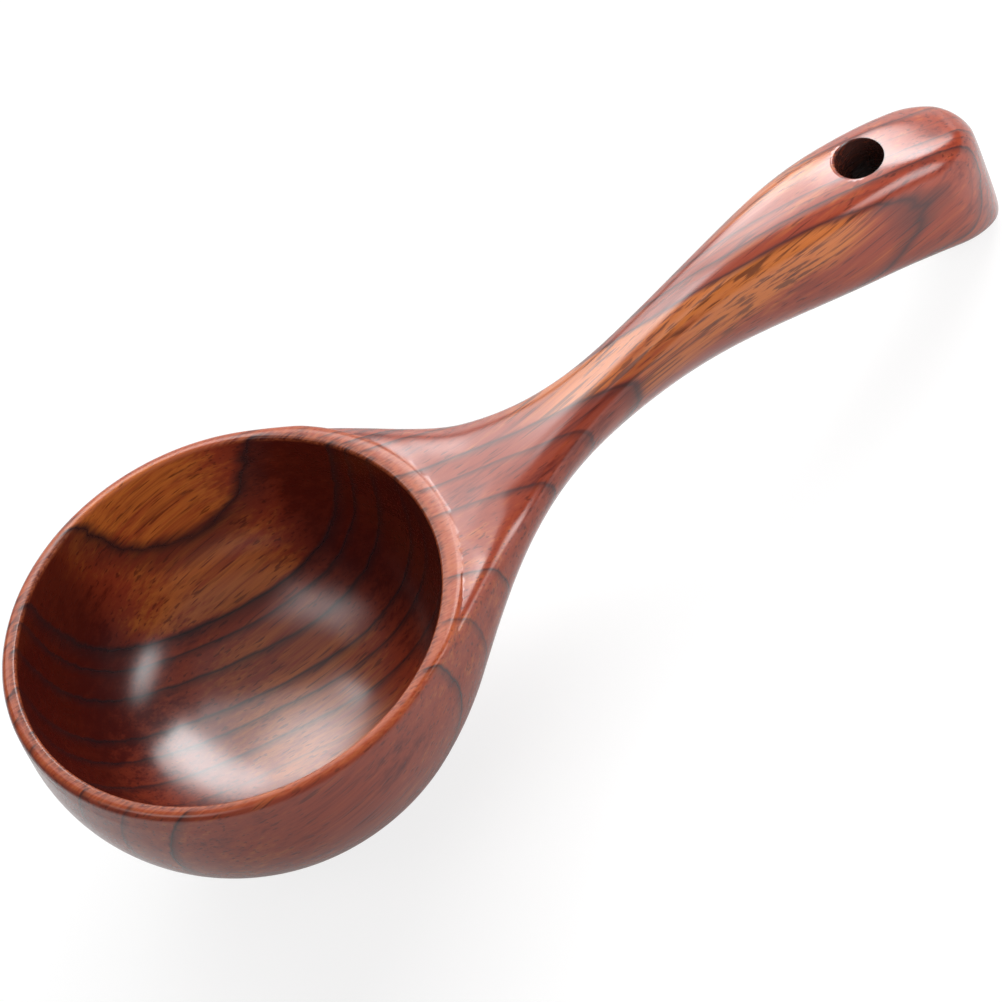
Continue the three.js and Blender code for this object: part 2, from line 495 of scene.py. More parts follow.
    def section(self, x: float, count: int) -> list[Vector]:
        """Gives the closed cross-section of the outside.

        Args:
            x: Place along the handle.
            count: Number of points around the section.

        Returns:
            The points, anticlockwise seen from the handle's end.
        """
        shape = self.shape
        half, top, bottom = self.half_width(x), self.top_line(x), self.underside(x)
        to_neck = smoothstep(x, self.flare_x, self.neck_x)
        to_grip = smoothstep(x, self.neck_x, self.grip_x)
        top_power = blend(shape.rim, shape.neck_top, smoothstep(x, *self.shoulder))
        top_power = blend(top_power, shape.grip_top, to_grip)
        under_power = blend(shape.belly, shape.neck_under, to_neck)
        under_power = blend(under_power, shape.grip_under, to_grip)
        share = blend(shape.neck_waist, shape.grip_waist, to_grip)
        waist = blend(bottom, top, share)
        waist = blend(-self.bowl.belly_drop, waist, smoothstep(x, 0.0, self.neck_x))
        points = []
        for index in range(count):
            turn = 2.0 * math.pi * index / count
            across, up = math.cos(turn), math.sin(turn)
            power = 2.0 / (top_power if up >= 0.0 else under_power)
            reach = top - waist if up >= 0.0 else waist - bottom
            y = half * math.copysign(abs(across) ** power, across)
            z = waist + reach * math.copysign(abs(up) ** power, up)
            points.append(Vector((x, y, z)))
        return points

    def rest_turn(self, samples: int = 400) -> float:
        """Gives the turn about Y that brings the belly and the heel to one level.

        Args:
            samples: Points read along the underside.

        Returns:
            The turn in radians.
        """
        first, last = -self.bowl.reach, self.end_x
        places = [blend(first, last, index / samples) for index in range(samples + 1)]
        keel = [(x, self.underside(x)) for x in places]
        bowl = [point for point in keel if point[0] < self.neck_x]
        handle = [point for point in keel if point[0] >= self.neck_x]

        def heel_is_up(turn: float) -> bool:
            """Tells whether the heel is above the belly at a turn."""
            rise, run = math.cos(turn), math.sin(turn)
            heel, belly = (min(z * rise - x * run for x, z in part) for part in (handle, bowl))
            return heel > belly

        return turning_point(heel_is_up, QUARTER / 2.0)


@dataclass(frozen=True)
class GrowthLine:
    """One dark line between two years' wood, by its distance from the pith in millimetres."""

    radius: float
    width: float
    dark: float

    def at(self, widths: float) -> float:
        """Gives the distance from the pith at a number of widths past the line."""
        return self.radius + widths * self.width

    def stops(self) -> list[Pair]:
        """Gives the distances where the darkness changes, with the darkness there."""
        return [(self.at(widths), share * self.dark) for widths, share in LINE_EDGES]


@dataclass(frozen=True)
class GrowthRings:
    """How the tree grew through the block, in millimetres in the frame of the part.

    The rings go round a pith that lies beside the ladle, along the handle, and sways with the
    grain. A line has its distance from the pith, width and darkness, and warmth is how orange
    the wood is at a distance from the pith.
    """

    pith_y: float = -79.6
    pith_z: float = 29.4
    sway: Triple = (-0.3319, -0.000435, 0.0000231)
    end_curl: float = 2.4
    end_reach: Pair = (56.0, 90.0)
    hollow: tuple[Triple, ...] = (
        (64.5, 0.5, 0.40), (68.2, 0.6, 0.55), (73.6, 0.9, 0.85), (78.6, 0.8, 0.90),
        (82.4, 0.9, 0.95), (88.4, 0.8, 0.95), (92.1, 0.6, 0.95), (94.4, 1.0, 1.00),
        (101.7, 1.2, 1.00), (108.0, 0.8, 0.80),
    )
    outside: tuple[Triple, ...] = (
        (41.3, 1.0, 0.95), (49.2, 0.7, 0.80), (57.8, 0.8, 0.90), (71.2, 0.8, 0.85),
        (77.6, 0.7, 0.85), (82.2, 0.9, 0.95), (90.2, 0.55, 0.95), (91.8, 0.3, 0.35),
        (93.3, 0.6, 0.90), (94.8, 0.3, 0.55), (96.2, 0.5, 0.80), (99.4, 0.3, 0.45),
        (103.2, 0.6, 0.75), (109.0, 0.8, 0.75),
    )
    lines_a_ramp: int = 7
    tone_span: Pair = (74.0, 116.0)
    hollow_warmth: tuple[Pair, ...] = (
        (76.0, 0.64), (88.2, 0.58), (94.0, 0.20), (95.3, 0.85),
        (100.0, 0.75), (101.2, 0.60), (102.4, 0.85),
    )
    outside_warmth: tuple[Pair, ...] = (
        (76.0, 0.30), (81.5, 0.40), (83.0, 0.90), (89.6, 1.00),
        (90.3, 0.30), (92.6, 0.45), (93.4, 0.15), (95.4, 0.45),
        (96.3, 0.20), (99.0, 0.60), (102.0, 0.90),
    )
    streak_start: Pair = (-6.0, 16.0)
    streak_level: Pair = (23.0, 28.5)
    streak_end: Pair = (77.0, 62.0)
    outside_least: float = 0.36
    glow_place: float = -55.0
    glow_reach: Pair = (25.0, 6.0)
    glow_least: float = 0.15


@dataclass(frozen=True)
class Streaks:
    """One set of streaks: how many in a millimetre along and across the grain, and how fine."""

    along: float
    across: float
    detail: float
    shift: float


@dataclass(frozen=True)
class WoodFigure:
    """Streaks, flecks and worn places of the wood, and where shade is painted on the hollow's
    walls and in the hanging hole.

    A pair is where a share is 0 and where it is 1.
    """

    broad: Streaks = Streaks(0.022, 0.55, 4.0, 3.0)
    fibres: Streaks = Streaks(0.05, 2.4, 3.0, 11.0)
    clouds: Streaks = Streaks(0.012, 0.045, 2.0, 27.0)
    pores: Streaks = Streaks(0.10, 1.9, 1.0, 41.0)
    dashes: Streaks = Streaks(0.045, 1.5, 4.0, 57.0)
    wander: Streaks = Streaks(0.018, 0.05, 1.0, 5.0)
    ripple: Streaks = Streaks(0.06, 0.45, 3.0, 19.0)
    broad_weight: float = 1.1
    cloud_weight: float = 0.8
    fibre_weight: float = 0.6
    wander_reach: float = 1.4
    ripple_reach: float = 0.8
    body_tone: Pair = (1.15, 1.62)
    pale_tone: Pair = (1.60, 2.30)
    pore_edge: Pair = (0.60, 0.70)
    pore_share: float = 0.6
    dash_edge: Pair = (0.50, 0.62)
    dash_warmth: Pair = (0.35, 0.80)
    dash_outside: float = 0.75
    dash_hollow: float = 0.30
    hollow_edge: Pair = (1.10, 1.03)
    # The next four settings place the painted shade on the hollow's walls towards the front and
    # back of the bowl, above its floor.
    wall_shade_centre: float = 0.05
    end_reach: Pair = (0.30, 0.60)
    wall_shade_level: Pair = (-0.90, -0.68)
    wall_shade_strength: float = 0.85
    rim_edge: Pair = (0.985, 0.955)
    rim_level: Pair = (-1.2, -0.4)
    rim_fibres: Pair = (0.3, 0.75)
    rim_share: float = 0.75
    # Painted shade in the hanging hole, with a ragged edge.
    hole_shade_edge: Pair = (0.55, -0.05)


@dataclass(frozen=True)
class WoodColours:
    """Colours of the wood under its lacquer and of the shade painted on the hollow's walls and in
    the hanging hole, as linear light.
    """

    heart: Triple = (0.085, 0.006, 0.003)
    body: Triple = (0.230, 0.032, 0.012)
    pale: Triple = (0.450, 0.122, 0.022)
    line: Triple = (0.020, 0.008, 0.010)
    pore: Triple = (0.045, 0.005, 0.003)
    dash: Triple = (0.060, 0.012, 0.005)
    # Painted shade for the hollow's walls towards the front and back of the bowl.
    wall_shade: Triple = (0.052, 0.004, 0.0025)
    rim: Triple = (0.380, 0.095, 0.036)
    # Painted shade for the wall of the hanging hole.
    hole_shade: Triple = (0.030, 0.011, 0.009)


@dataclass(frozen=True)
class LacquerGloss:
    """Clear lacquer over the wood."""

    wood_roughness: float = 0.40
    wood_shine: float = 0.05
    coat: float = 1.0
    rim_coat: float = 0.42
    coat_roughness: float = 0.20
    coat_ior: float = 1.6
    grain_depth: float = 0.00012
    grain_strength: float = 0.25
    fibre_height: float = 0.4


def sum_of(step: Step) -> Callable[..., "Reading"]:
    """Makes a method that does a sum with a reading and, where the sum has one, another number.

    Args:
        step: The sum.

    Returns:
        The method.
    """

    def work(reading: "Reading", *others: "Number") -> "Reading":
        """Adds the sum to the reading's sheet."""
        return reading.sheet.sum(step, reading, *others)

    return work


@dataclass(frozen=True)
class Reading:
    """A number that a finish works out from place to place, from a socket on its sheet."""

    sheet: "FinishSheet"
    socket: Socket

    __add__ = sum_of(Step.ADD)
    __sub__ = sum_of(Step.TAKE)
    __mul__ = sum_of(Step.TIMES)
    __truediv__ = sum_of(Step.OVER)
    __pow__ = sum_of(Step.POWER)
    __abs__ = sum_of(Step.SIZE)
    root = sum_of(Step.ROOT)
    most = sum_of(Step.MORE)

    def spread(self, low: float, high: float) -> "Reading":
        """Gives a gentle share of the way from low to high."""
        span = {"Value": self, "From Min": low, "From Max": high}
        return self.sheet.read("ShaderNodeMapRange", span, interpolation_type="SMOOTHSTEP")


Number = Reading | float


def away(along: Reading, across: Reading) -> Reading:
    """Gives the distance from a place, from how far it is along and across."""
    return (across * across + along * along).root()


class FinishSheet:
    """Lays out the nodes of one finish."""

    def __init__(self, owner: bpy.types.Material | bpy.types.World) -> None:
        """Starts an empty finish.

        Args:
            owner: Material or surroundings that the finish is for.
        """
        owner.use_nodes = True
        self.tree = owner.node_tree
        self.tree.nodes.clear()

    def add(
        self, kind: str, inputs: dict[str | int, object], **settings: object
    ) -> bpy.types.Node:
        """Adds a node.

        Args:
            kind: Type name of the node.
            inputs: Readings, output sockets, numbers or colours for its input sockets.
            **settings: Properties to set on it first.

        Returns:
            The node.
        """
        node = self.tree.nodes.new(kind)
        for name, value in settings.items():
            setattr(node, name, value)
        for name, value in inputs.items():
            source = value.socket if isinstance(value, Reading) else value
            if isinstance(source, Socket):
                self.tree.links.new(source, node.inputs[name])
            else:
                node.inputs[name].default_value = source
        return node

    def read(self, kind: str, inputs: dict[str | int, object], **settings: object) -> Reading:
        """Adds a node as add does and reads its first output."""
        return Reading(self, self.add(kind, inputs, **settings).outputs[0])

    def sum(self, step: Step, *values: Number) -> Reading:
        """Adds a sum of one or two values."""
        return self.read("ShaderNodeMath", dict(enumerate(values)), operation=step.value)

    def split(self, place: Socket) -> list[Reading]:
        """Adds the three parts of a position."""
        parts = self.add("ShaderNodeSeparateXYZ", {0: place}).outputs
        return [Reading(self, part) for part in parts]

    def rays(self) -> tuple[Reading, Reading]:
        """Adds what tells the camera's own view from its view in the lacquer.

        Returns:
            The share of what is seen and of what is mirrored.
        """
        path = self.add("ShaderNodeLightPath", {}).outputs
        names = ("Is Camera Ray", "Is Glossy Ray", "Is Transmission Ray")
        seen, glossy, through = (Reading(self, path[name]) for name in names)
        return seen, glossy.most(through)

    def tint(self, share: Number, first: object, second: object) -> Socket:
        """Adds a mix of two colours.

        Args:
            share: Share of the second colour.
            first: Colour or output socket.
            second: Colour or output socket.

        Returns:
            The mixed colour's socket.
        """
        ends = (end if isinstance(end, Socket) else (*end, 1.0) for end in (first, second))
        inputs = dict(zip(MIX_COLOURS, (share, *ends)))
        mix = self.add("ShaderNodeMix", inputs, data_type="RGBA", clamp_factor=True)
        return mix.outputs[MIXED_COLOUR]

    def between(self, share: Reading, first: Number, second: Number) -> Reading:
        """Adds a number at a share of the way from the first number to the second."""
        inputs = dict(zip(MIX_NUMBERS, (share, first, second)))
        return self.read("ShaderNodeMix", inputs, data_type="FLOAT", clamp_factor=True)

    def grain(self, place: Socket, kind: Streaks) -> Reading:
        """Adds streaks that are stretched along the grain.

        Args:
            place: Position in millimetres.
            kind: The streaks.

        Returns:
            The streaks, around their middle value.
        """
        scale = (kind.along, kind.across, kind.across)
        stretched = {"Vector": place, "Scale": scale, "Location": (kind.shift,) * 3}
        turned = self.add("ShaderNodeMapping", stretched, vector_type="POINT").outputs["Vector"]
        inputs = {"Vector": turned, "Scale": 1.0, "Detail": kind.detail}
        return self.read("ShaderNodeTexNoise", inputs, noise_dimensions="3D")

    def ramp(self, value: Reading, stops: list[Pair] | tuple[Pair, ...], span: Pair) -> Reading:
        """Adds a number that follows stops along a value.

        Args:
            value: The value to follow.
            stops: Value and number at each stop, rising.
            span: Lowest and highest value of the ramp.

        Returns:
            The number.
        """
        low, high = span
        limits = {"Value": value, "From Min": low, "From Max": high}
        share = self.read("ShaderNodeMapRange", limits)
        node = self.add("ShaderNodeValToRGB", {"Fac": share})
        marks = node.color_ramp.elements
        for mark, stop in ((marks[0], stops[0]), (marks[1], stops[-1])):
            mark.color = (stop[1],) * 3 + (1.0,)
        for place, number in stops:
            marks.new((place - low) / (high - low)).color = (number,) * 3 + (1.0,)
        return Reading(self, node.outputs["Color"])


@dataclass
class LacqueredWood:
    """Red-brown wood with dark growth lines under clear lacquer, with shade painted on the
    hollow's walls and in the hanging hole.

    The form gives the places of rim, hollow and hole, and laid is where the carving lies in the
    frame, in metres.
    """

    form: LadleForm
    laid: Matrix
    rings: GrowthRings = GrowthRings()
    figure: WoodFigure = WoodFigure()
    colours: WoodColours = WoodColours()
    gloss: LacquerGloss = LacquerGloss()

    def __post_init__(self) -> None:
        """Starts the finish with the place in the frame and on the carving, in millimetres."""
        self.material = bpy.data.materials.new("lacquered_wood")
        self.sheet = FinishSheet(self.material)
        metres = self.sheet.add("ShaderNodeTexCoord", {}).outputs["Object"]
        scaled = {0: metres, "Scale": 1.0 / METRES}
        scaling = self.sheet.add("ShaderNodeVectorMath", scaled, operation="SCALE")
        self.place = scaling.outputs["Vector"]
        self.x, self.y, self.z = self.sheet.split(self.place)
        turn = self.laid.to_3x3().inverted()
        back = {
            "Vector": metres,
            "Rotation": turn.to_euler(),
            "Location": -(turn @ self.laid.to_translation()) / METRES,
            "Scale": (1.0 / METRES,) * 3,
        }
        carving = self.sheet.add("ShaderNodeMapping", back, vector_type="POINT")
        self.along, self.across, self.up = self.sheet.split(carving.outputs["Vector"])
        self.inside = self._hollow_share()
        self.radius = self._ring_radius()
        self.fibres = self._streaks(self.figure.fibres)

    def make(self) -> bpy.types.Material:
        """Builds the finish.

        Returns:
            The material.
        """
        sheet, rings, figure, colours = self.sheet, self.rings, self.figure, self.colours
        lines = sheet.between(self.inside, self._lines(rings.outside), self._lines(rings.hollow))
        warmth = self._warmth()
        pores = self._streaks(figure.pores).spread(*figure.pore_edge)
        rim = self._rim_share()
        colour = self._wood_colour(warmth)
        colour = sheet.tint(pores * figure.pore_share, colour, colours.pore)
        colour = sheet.tint(self._dash_share(warmth), colour, colours.dash)
        # Painted shade on the hollow's walls towards the front and back of the bowl, above its
        # floor.
        colour = sheet.tint(self.inside * self._wall_shade_share(), colour, colours.wall_shade)
        sanded = sheet.tint(self.fibres.spread(*figure.rim_fibres), colours.rim, colour)
        colour = sheet.tint(rim * figure.rim_share, colour, sanded)
        colour = sheet.tint(lines, colour, colours.line)
        # Painted shade in the hanging hole.
        colour = sheet.tint(self._hole_shade_share(), colour, colours.hole_shade)
        self._lacquer(colour, rim, pores)
        return self.material

    def _streaks(self, kind: Streaks) -> Reading:
        """Adds a set of streaks."""
        return self.sheet.grain(self.place, kind)

    def _ring_radius(self) -> Reading:
        """Adds the distance from the pith, in millimetres.

        Returns:
            The distance.
        """
        rings, figure, x = self.rings, self.figure, self.x
        slope, bend, twist = rings.sway
        sway = ((x * twist + bend) * x + slope) * x
        radius = away(self.z - rings.pith_z, self.y - sway - rings.pith_y)
        curl = x.spread(*rings.end_reach) * rings.end_curl
        wander = (self._streaks(figure.wander) - MIDDLE) * figure.wander_reach
        ripple = (self._streaks(figure.ripple) - MIDDLE) * figure.ripple_reach
        return radius + curl + (wander + ripple)

    def _lines(self, rows: tuple[Triple, ...]) -> Number:
        """Adds the dark lines.

        Args:
            rows: The lines, from the pith outwards.

        Returns:
            The lines' share, 1 where they are darkest.
        """
        dark, count = 0.0, self.rings.lines_a_ramp
        for first in range(0, len(rows), count):
            band = [GrowthLine(*row) for row in rows[first : first + count]]
            stops = [stop for line in band for stop in line.stops()]
            span = band[0].at(BAND_ENDS[0]), band[-1].at(BAND_ENDS[1])
            dark = self.sheet.ramp(self.radius, stops, span).most(dark)
        return dark

    def _warmth(self) -> Reading:
        """Adds how orange the wood is, ring by ring, in the hollow and outside.

        Returns:
            The warmth, from 0 for red wood to 1 for orange.
        """
        rings, sheet = self.rings, self.sheet
        hollow = sheet.ramp(self.radius, rings.hollow_warmth, rings.tone_span)
        outside = sheet.ramp(self.radius, rings.outside_warmth, rings.tone_span)
        glow = abs(self.x - rings.glow_place).spread(*rings.glow_reach).most(rings.glow_least)
        streak = self.x.spread(*rings.streak_start) * self.z.spread(*rings.streak_level)
        streak = streak * self.x.spread(*rings.streak_end)
        outside = sheet.between(streak, rings.outside_least, outside)
        return sheet.between(self.inside, outside, hollow * glow)

    def _wood_colour(self, warmth: Reading) -> Socket:
        """Adds the colour between the lines.

        Args:
            warmth: How orange the wood is.

        Returns:
            The colour's socket.
        """
        sheet, figure, colours = self.sheet, self.figure, self.colours
        tone = self._streaks(figure.broad) * figure.broad_weight + warmth
        tone = tone + self._streaks(figure.clouds) * figure.cloud_weight
        tone = tone + self.fibres * figure.fibre_weight
        colour = sheet.tint(tone.spread(*figure.body_tone), colours.heart, colours.body)
        return sheet.tint(tone.spread(*figure.pale_tone), colour, colours.pale)

    def _dash_share(self, warmth: Reading) -> Reading:
        """Adds the share of the dark dashes, which lie in orange wood and most of all outside.

        Args:
            warmth: How orange the wood is.

        Returns:
            The share.
        """
        figure = self.figure
        dashes = self._streaks(figure.dashes).spread(*figure.dash_edge)
        dashes = dashes * warmth.spread(*figure.dash_warmth)
        return dashes * self.sheet.between(self.inside, figure.dash_outside, figure.dash_hollow)

    def _hollow_share(self) -> Reading:
        """Adds a share that is 1 on the wall and floor of the hollow and 0 on the outside.

        Returns:
            The share.
        """
        bowl = self.form.bowl
        aside = away(self.along, self.across) / bowl.mouth_radius
        down = (self.up + bowl.cavity_lip) / (bowl.cavity_lip - bowl.cavity_depth)
        whole = aside**bowl.cavity_squareness + down.most(0.0) ** bowl.cavity_squareness
        return whole.spread(*self.figure.hollow_edge)

    def _wall_shade_share(self) -> Reading:
        """Adds a share that is 1 on the hollow's walls towards the front and back of the bowl,
        above its floor, where shade is painted in.

        Returns:
            The share.
        """
        figure, bowl = self.figure, self.form.bowl
        aside = abs(self.along - figure.wall_shade_centre * bowl.mouth_radius)
        ends = aside.spread(*(share * bowl.mouth_radius for share in figure.end_reach))
        wall = self.up.spread(*(share * bowl.cavity_depth for share in figure.wall_shade_level))
        return ends * wall * figure.wall_shade_strength

    def _rim_share(self) -> Reading:
        """Adds a share that is 1 on the sanded top of the rim.

        Returns:
            The share.
        """
        front, back = self.form.bowl.reach, self.form.rim_back
        along = (self.along - (back - front) / 2.0) / ((back + front) / 2.0)
        across = self.across / self.form.bowl.half_width
        inside = (along * along + across * across).spread(*self.figure.rim_edge)
        return inside * self.up.spread(*self.figure.rim_level)

    def _hole_shade_share(self) -> Reading:
        """Adds a share that is 1 on the wall of the hanging hole, where shade is painted in, with
        a ragged edge.

        Returns:
            The share.
        """
        aside = away(self.along - self.form.hole_x, self.across) + (self.fibres - MIDDLE)
        return aside.spread(*(self.form.hole.radius + edge for edge in self.figure.hole_shade_edge))

    def _lacquer(self, colour: Socket, rim: Reading, pores: Reading) -> None:
        """Adds the wood's surface and the lacquer over it, thinner on the rubbed rim.

        Args:
            colour: Colour of the wood.
            rim: Share of the rim's sanded top.
            pores: Share of open pores.
        """
        sheet, gloss = self.sheet, self.gloss
        relief = {
            "Strength": gloss.grain_strength,
            "Distance": gloss.grain_depth,
            "Height": self.fibres * gloss.fibre_height - pores,
        }
        surface = {
            "Base Color": colour,
            "Normal": sheet.add("ShaderNodeBump", relief).outputs["Normal"],
            "Roughness": gloss.wood_roughness,
            "Specular IOR Level": gloss.wood_shine,
            "Coat Weight": sheet.between(rim, gloss.coat, gloss.rim_coat),
            "Coat Roughness": gloss.coat_roughness,
            "Coat IOR": gloss.coat_ior,
        }
        shader = sheet.add("ShaderNodeBsdfPrincipled", surface)
        sheet.add("ShaderNodeOutputMaterial", {"Surface": shader.outputs["BSDF"]})


@dataclass
class Ladle:
    """The ladle, carved from one block."""

    form: LadleForm = field(default_factory=LadleForm)
    fine: Fineness = field(default_factory=Fineness)

    def build(self) -> bpy.types.Object:
        """Carves the ladle, lays it down and dresses it.

        Returns:
            The finished piece.
        """
        block = self._object("ladle_carved", self._outside())
        self._work(block, self._object("rim_band", self._rim()), Cut.JOIN)
        self._work(block, self._object("bowl_gouge", self._cavity()), Cut.CARVE)
        self._work(block, self._object("hole_drill", self._hole()), Cut.CARVE)
        self._clean(block.data)
        laid = self._lay_down(block.data)
        self._smooth(block.data)
        block.data.materials.clear()
        block.data.materials.append(LacqueredWood(self.form, laid).make())
        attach(block, "root")
        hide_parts("ladle")
        return block

    @staticmethod
    def _object(name: str, mesh_work: MeshWork) -> bpy.types.Object:
        """Closes mesh work, turns its faces outwards and makes it an object.

        Args:
            name: Name of the object.
            mesh_work: The mesh work, in millimetres.

        Returns:
            The object.
        """
        bmesh.ops.remove_doubles(mesh_work, verts=mesh_work.verts, dist=WELD)
        bmesh.ops.recalc_face_normals(mesh_work, faces=mesh_work.faces)
        return show_mesh(name, mesh_work)

    @staticmethod
    def _work(block: bpy.types.Object, tool: bpy.types.Object, cut: Cut) -> None:
        """Joins a tool's shape to the block or carves it out.

        Args:
            block: The piece being carved.
            tool: Shape to join or carve out; it is used up.
            cut: Whether the shape is joined or carved.
        """
        step = block.modifiers.new(tool.name, "BOOLEAN")
        step.operation = cut.value
        step.solver = "EXACT"
        step.object = tool
        graph = bpy.context.evaluated_depsgraph_get()
        carved = bpy.data.meshes.new_from_object(block.evaluated_get(graph))
        block.modifiers.remove(step)
        old = block.data
        block.data = carved
        bpy.data.meshes.remove(old)
        shape = tool.data
        bpy.data.objects.remove(tool)
        bpy.data.meshes.remove(shape)

    @staticmethod
    def _clean(mesh: bpy.types.Mesh) -> None:
        """Takes out the slivers that carving leaves and turns the faces outwards.

        Args:
            mesh: The carving, in millimetres.
        """
        work = bmesh.new()
        work.from_mesh(mesh)
        bmesh.ops.remove_doubles(work, verts=work.verts, dist=SLIVER)
        bmesh.ops.dissolve_degenerate(work, edges=work.edges, dist=SLIVER)
        bmesh.ops.triangulate(work, faces=[face for face in work.faces if len(face.verts) > 4])
        bmesh.ops.dissolve_degenerate(work, edges=work.edges, dist=SLIVER)
        bmesh.ops.recalc_face_normals(work, faces=work.faces)
        work.to_mesh(mesh)
        work.free()

    def _stations(self) -> list[float]:
        """Gives the places of the cross-sections, closer where the two ends round off.

        Returns:
            The places along the handle.
        """
        fine, form = self.fine, self.form
        places = []
        for index in range(fine.bowl_stations + 1):
            share = max(index / fine.bowl_stations, fine.tip_share)
            places.append(-form.bowl.reach * math.cos(QUARTER * share))
        round_x = form.end_x - form.handle.end_round
        for index in range(1, fine.handle_stations + 1):
            places.append(round_x * index / fine.handle_stations)
        for index in range(1, fine.end_stations + 1):
            share = min(index / fine.end_stations, 1.0 - fine.tip_share)
            places.append(round_x + form.handle.end_round * math.sin(QUARTER * share))
        return places

    def _outside(self) -> MeshWork:
        """Lofts the outside through its cross-sections.

        Returns:
            The closed mesh.
        """
        work = bmesh.new()
        loops = []
        for x in self._stations():
            ring = bmesh.ops.create_circle(work, segments=self.fine.around, radius=1.0)["verts"]
            for vertex, point in zip(ring, self.form.section(x, self.fine.around)):
                vertex.co = point
            loops.append(list({edge for vertex in ring for edge in vertex.link_edges}))
        for near, far in zip(loops, loops[1:]):
            bmesh.ops.bridge_loops(work, edges=near + far)
        for loop in (loops[0], loops[-1]):
            bmesh.ops.edgeloop_fill(work, edges=loop)
        return work

    def _rim(self) -> MeshWork:
        """Makes the flat band of the rim with its rounded outer edge.

        Returns:
            The closed mesh.
        """
        rim, count = self.form.rim, self.fine.round_segments
        work = bmesh.new()
        disc = bmesh.ops.create_circle(work, cap_ends=True, segments=count, radius=1.0)["verts"]
        for index, vertex in enumerate(disc):
            vertex.co = (*self.form.rim_edge(2.0 * math.pi * index / count), -rim.band)
        raised = bmesh.ops.extrude_face_region(work, geom=list(work.faces))["geom"]
        top = [item for item in raised if isinstance(item, bmesh.types.BMVert)]
        edge = [item for item in raised if isinstance(item, bmesh.types.BMEdge)]
        bmesh.ops.translate(work, vec=(0.0, 0.0, rim.band), verts=top)
        bmesh.ops.bevel(
            work, geom=edge, offset=rim.edge_round, offset_type="OFFSET", affect="EDGES",
            segments=self.fine.round_steps, profile=ROUND_PROFILE, material=-1,
        )
        return work

    def _turned(self, profile: list[Pair], segments: int) -> MeshWork:
        """Turns a profile about the z axis.

        Args:
            profile: Radius and level of each point, from axis to axis.
            segments: Steps of the full turn.

        Returns:
            The closed mesh.
        """
        work = bmesh.new()
        points = [work.verts.new((radius, 0.0, level)) for radius, level in profile]
        edges = [work.edges.new(pair) for pair in zip(points, points[1:])]
        bmesh.ops.spin(
            work, geom=points + edges, axis=(0.0, 0.0, 1.0), cent=(0.0, 0.0, 0.0),
            angle=2.0 * math.pi, steps=segments, use_merge=True,
        )
        return work

    def _lip(self, radius: float, softness: float) -> list[Pair]:
        """Gives the profile of a softened mouth, as radius and level, up to level 0."""
        turns = [(math.cos(turn), math.sin(turn)) for turn in quarter_turns(self.fine.round_steps)]
        return [(radius + softness * (1.0 - out), softness * (up - 1.0)) for out, up in turns]

    def _cavity(self) -> MeshWork:
        """Makes the shape of the hollow: round floor, upright lip and soft inner edge.

        Returns:
            The closed mesh.
        """
        bowl, rim = self.form.bowl, self.form.rim
        deep = bowl.cavity_depth - bowl.cavity_lip
        power = 2.0 / bowl.cavity_squareness
        profile = []
        for turn in quarter_turns(self.fine.cavity_steps):
            radius = bowl.mouth_radius * math.sin(turn) ** power
            profile.append((radius, -bowl.cavity_lip - deep * math.cos(turn) ** power))
        profile += self._lip(bowl.mouth_radius, rim.mouth_round)
        profile.append((bowl.mouth_radius + rim.mouth_round, bowl.cavity_lip))
        profile.append((0.0, bowl.cavity_lip))
        return self._turned(profile, self.fine.round_segments)

    def _hole(self) -> MeshWork:
        """Makes the shape of the hanging hole, with its mouths softened.

        Returns:
            The closed mesh.
        """
        form, hole = self.form, self.form.hole
        top = form.top_line(form.hole_x)
        bottom = form.underside(form.hole_x)
        lip = self._lip(hole.radius, hole.mouth_round)
        wide = hole.radius + hole.mouth_round + hole.overrun
        profile = [(0.0, bottom - hole.overrun), (wide, bottom - hole.overrun)]
        profile += [(radius, bottom - rise) for radius, rise in reversed(lip)]
        profile += [(radius, top + rise) for radius, rise in lip]
        profile += [(wide, top + hole.overrun), (0.0, top + hole.overrun)]
        work = self._turned(profile, self.fine.hole_segments)
        bmesh.ops.translate(work, vec=(form.hole_x, 0.0, 0.0), verts=work.verts)
        return work

    def _lay_down(self, mesh: bpy.types.Mesh) -> Matrix:
        """Lays the carving down where the CAD part lies, in metres.

        Args:
            mesh: The carving, rim level, in millimetres.

        Returns:
            The matrix from the carving, in metres, to the frame.
        """
        turn = Matrix.Rotation(self.form.rest_turn(), 4, "Y")
        mesh.transform(turn @ Matrix.Scale(METRES, 4))
        columns = list(zip(*(vertex.co for vertex in mesh.vertices)))
        low, high = Vector(map(min, columns)), Vector(map(max, columns))
        cad_low, cad_high = (Vector(corner_point) for corner_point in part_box("ladle"))
        own, cad = high - low, cad_high - cad_low
        fit = min(1.0, *(cad[axis] / own[axis] for axis in range(3)))
        foot, cad_foot = (low + high) / 2.0, (cad_low + cad_high) / 2.0
        foot.z, cad_foot.z = low.z, cad_low.z
        move = Matrix.Translation(cad_foot) @ Matrix.Scale(fit, 4) @ Matrix.Translation(-foot)
        mesh.transform(move)
        LOG.info("laid down, fitted by %.5f", fit)
        return Matrix.Translation(cad_foot - foot) @ turn

    def _smooth(self, mesh: bpy.types.Mesh) -> None:
        """Shades the wood smooth, with an edge only where two cuts meet sharply."""
        mesh.shade_smooth()
        mesh.set_sharp_from_angle(angle=math.radians(self.fine.sharp_angle))


